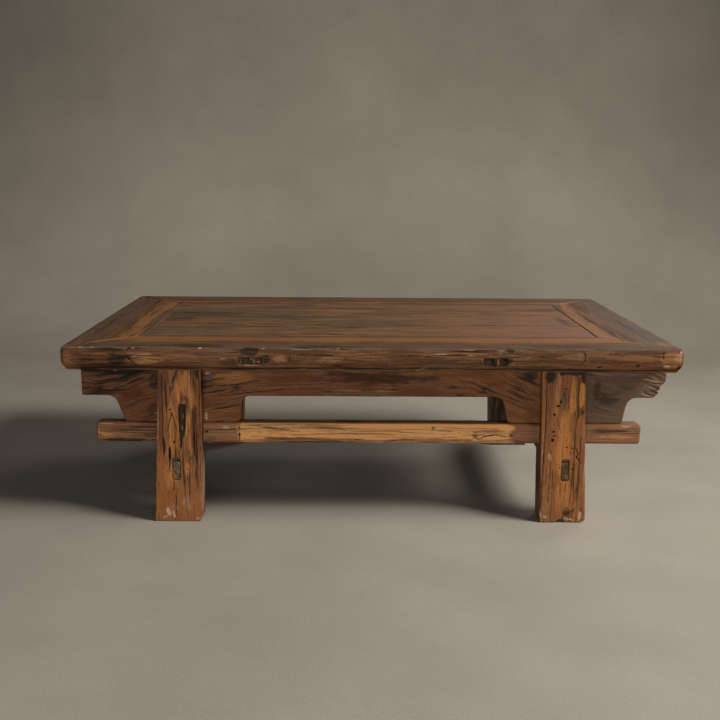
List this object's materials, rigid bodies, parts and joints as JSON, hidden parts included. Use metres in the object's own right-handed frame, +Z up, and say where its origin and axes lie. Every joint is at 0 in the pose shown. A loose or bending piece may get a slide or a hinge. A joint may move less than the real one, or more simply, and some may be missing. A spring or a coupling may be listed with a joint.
{
  "type": "kang table",
  "caption": "Low rectangular kang table with a framed top, shaped aprons over long rails, and forked legs tied by side stretchers.",
  "frame": {"origin": "on the floor under the middle of the table, at the bottom centre of its box", "axes": "+X along the table's length, +Z up, the front with the split-off apron end faces -Y"},
  "size_m": [0.97, 0.6, 0.3],
  "materials": {
    "frame_wood": "old oil finish, worn through along the edges",
    "panel_wood": "old lacquer, darkened and rubbed",
    "apron_wood": "old dark lacquer, worn",
    "rail_wood": "bare worn elm, oiled",
    "leg_wood": "old oil finish, worn to bare wood in patches",
    "stretcher_wood": "dark unfinished elm",
    "batten_wood": "raw elm, darkened",
    "wedge_wood": "raw elm end grain"
  },
  "bodies": {
    "root": {"top_frame_front": "frame_wood", "top_frame_rear": "frame_wood", "top_frame_left": "frame_wood", "top_frame_right": "frame_wood", "top_plank_front": "panel_wood", "top_plank_middle": "panel_wood", "top_plank_rear": "panel_wood", "batten_left": "batten_wood", "batten_right": "batten_wood", "batten_wedges": "wedge_wood", "apron_front": "apron_wood", "apron_rear": "apron_wood", "long_rail_front": "rail_wood", "long_rail_rear": "rail_wood", "leg_front_left": "leg_wood", "leg_front_right": "leg_wood", "leg_rear_left": "leg_wood", "leg_rear_right": "leg_wood", "side_stretcher_lower_left": "stretcher_wood", "side_stretcher_lower_right": "stretcher_wood", "side_stretcher_upper_left": "stretcher_wood", "side_stretcher_upper_right": "stretcher_wood", "stretcher_wedges": "wedge_wood"}
  },
  "joints": []
}
